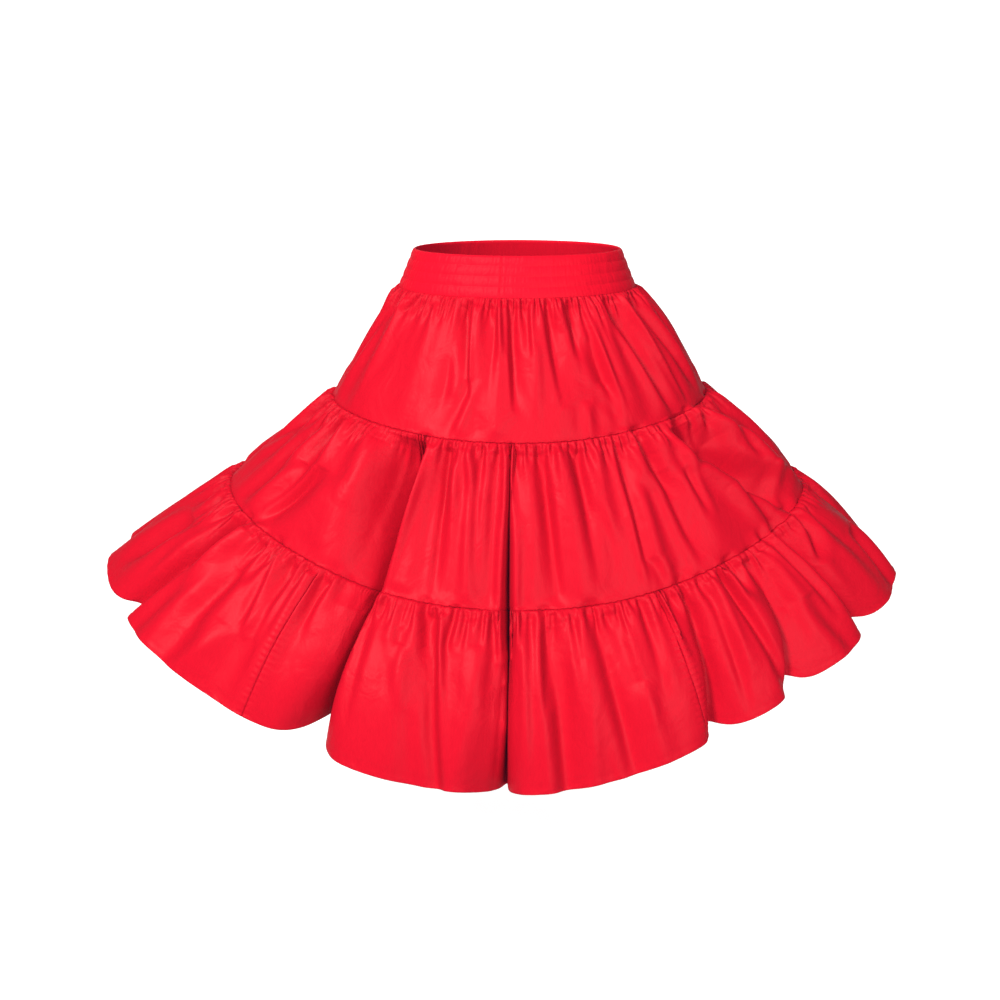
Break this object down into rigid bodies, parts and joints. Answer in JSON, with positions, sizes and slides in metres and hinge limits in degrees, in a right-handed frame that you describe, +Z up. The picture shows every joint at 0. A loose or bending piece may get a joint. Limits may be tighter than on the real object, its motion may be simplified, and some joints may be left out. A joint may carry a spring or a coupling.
{
  "type": "tiered skirt",
  "caption": "Flared knee-length skirt of gathered tiers on a wide channelled elastic waistband, shown filled out as if worn, open at the waist and hem.",
  "frame": {"origin": "middle of the waist, halfway up the waistband, where a wearer holds the skirt", "axes": "+Z up through the waist, +X to the right as seen from the front, the front towards -Y"},
  "size_m": [1.1544, 0.7783, 0.6014],
  "materials": {
    "waistband": "red poly-cotton over elastic, stitched in channels",
    "cloth": "plain-woven red poly-cotton with a soft sheen"
  },
  "bodies": {
    "root": {"waistband": "waistband", "tier_1": "cloth", "tier_2": "cloth", "tier_3_front": "cloth", "tier_3_right": "cloth", "tier_3_back": "cloth", "tier_3_left": "cloth"}
  },
  "joints": []
}
